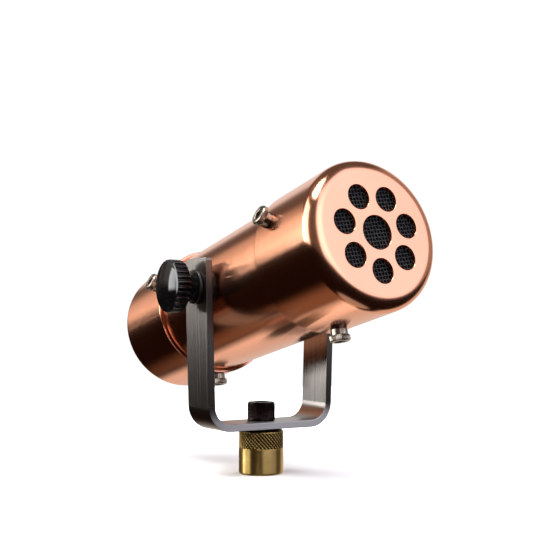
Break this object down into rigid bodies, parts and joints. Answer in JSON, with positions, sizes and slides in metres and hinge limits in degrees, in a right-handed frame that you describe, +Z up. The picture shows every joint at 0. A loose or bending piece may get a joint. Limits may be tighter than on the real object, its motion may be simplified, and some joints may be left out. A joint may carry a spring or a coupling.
{
  "type": "ribbon microphone",
  "caption": "End-address microphone in a round copper pipe body with capped ends and a drilled face, hung in a U yoke on a threaded stand adaptor.",
  "frame": {"origin": "centre of the mouth of the stand adaptor's threaded bore", "axes": "+Z up along the stand, -Y the way the microphone faces, X along the tilt axis"},
  "size_m": [0.0924, 0.1685, 0.1221],
  "materials": {
    "turned_brass": "turned, satin, lightly aged",
    "black_oxide_steel": "black oxide, semi-matt",
    "brushed_stainless": "brushed along the bar",
    "satin_copper": "copper, fine brushing round the body, lacquered",
    "stainless_screws": "plain stainless, knurled heads",
    "black_nylon": "matt",
    "zinc_steel": "bright zinc plate",
    "black_phenolic": "glossy moulding",
    "black_wire_mesh": "woven wire, blackened",
    "black_foam": "open-cell foam",
    "nickel_magnet": "nickel plated",
    "aluminium_foil": "bright corrugated foil",
    "phenolic_board": "brown laminate",
    "machined_aluminium": "turned",
    "grey_felt": "pressed wool felt",
    "black_rubber": "moulded",
    "lead_wire": "insulated wire",
    "screening_can": "drawn, annealed",
    "lamination_steel": "stacked laminations",
    "enamelled_winding": "wound enamelled wire under tape",
    "nickel_shell": "satin nickel plate",
    "gold_pins": "gold flash"
  },
  "bodies": {
    "stand": {"stand_adaptor": "turned_brass", "yoke_bolt": "black_oxide_steel"},
    "yoke": {"yoke": "brushed_stainless"},
    "mic": {"body_tube": "satin_copper", "front_cap": "satin_copper", "rear_cap": "satin_copper", "front_cap_screws": "stainless_screws", "rear_cap_screws": "stainless_screws", "left_saddle_washer": "black_nylon", "right_saddle_washer": "black_nylon", "grille_mesh": "black_wire_mesh", "connector_shell": "nickel_shell", "connector_insert": "black_nylon", "connector_pins": "gold_pins", "foam_disc": "black_foam", "mesh_ring": "black_nylon", "front_screw_nuts": "turned_brass", "rear_screw_nuts": "turned_brass", "left_pivot_boss": "turned_brass", "right_pivot_boss": "turned_brass", "motor_frame": "zinc_steel", "left_magnet": "nickel_magnet", "right_magnet": "nickel_magnet", "left_pole_piece": "zinc_steel", "right_pole_piece": "zinc_steel", "ribbon": "aluminium_foil", "upper_terminal_block": "phenolic_board", "lower_terminal_block": "phenolic_board", "upper_ribbon_clamp": "turned_brass", "lower_ribbon_clamp": "turned_brass", "clamp_screws": "turned_brass", "motor_plate": "machined_aluminium", "motor_screws": "zinc_steel", "felt_pad": "grey_felt", "front_isolator": "black_rubber", "rear_isolator": "black_rubber", "chassis_rods": "zinc_steel", "rod_nuts": "zinc_steel", "transformer_plate": "machined_aluminium", "terminal_board": "phenolic_board", "ribbon_leads": "lead_wire", "transformer_can": "screening_can", "can_screws": "zinc_steel", "transformer_core": "lamination_steel", "transformer_coil": "enamelled_winding", "connector_nut": "nickel_shell", "output_leads": "lead_wire"},
    "left_washer": {"left_knob_washer": "stainless_screws"},
    "left_knob": {"left_knob": "black_phenolic", "left_pivot_stud": "zinc_steel"},
    "right_washer": {"right_knob_washer": "stainless_screws"},
    "right_knob": {"right_knob": "black_phenolic", "right_pivot_stud": "zinc_steel"}
  },
  "joints": [
    {"name": "yoke_swivel", "type": "hinge", "parent": "stand", "child": "yoke", "pos_m": [0, 0, 0.02], "axis": [0, 0, 1], "continuous": true},
    {"name": "body_tilt", "type": "hinge", "parent": "yoke", "child": "mic", "pos_m": [0, 0, 0.07775], "axis": [-1, 0, 0], "range_deg": [-56, 29]},
    {"name": "left_knob_travel", "type": "slide", "parent": "yoke", "child": "left_washer", "axis": [-1, 0, 0], "range_m": [0, 0.00255]},
    {"name": "left_knob_turn", "type": "hinge", "parent": "left_washer", "child": "left_knob", "pos_m": [0, 0, 0.07775], "axis": [-1, 0, 0], "range_deg": [0, 720]},
    {"name": "right_knob_travel", "type": "slide", "parent": "yoke", "child": "right_washer", "axis": [1, 0, 0], "range_m": [0, 0.00255]},
    {"name": "right_knob_turn", "type": "hinge", "parent": "right_washer", "child": "right_knob", "pos_m": [0, 0, 0.07775], "axis": [1, 0, 0], "range_deg": [0, 720]}
  ],
  "couplings": [
    {"joint": "left_knob_travel", "follows": "left_knob_turn", "m_per_rad": 0.000202},
    {"joint": "right_knob_travel", "follows": "right_knob_turn", "m_per_rad": 0.000202}
  ]
}
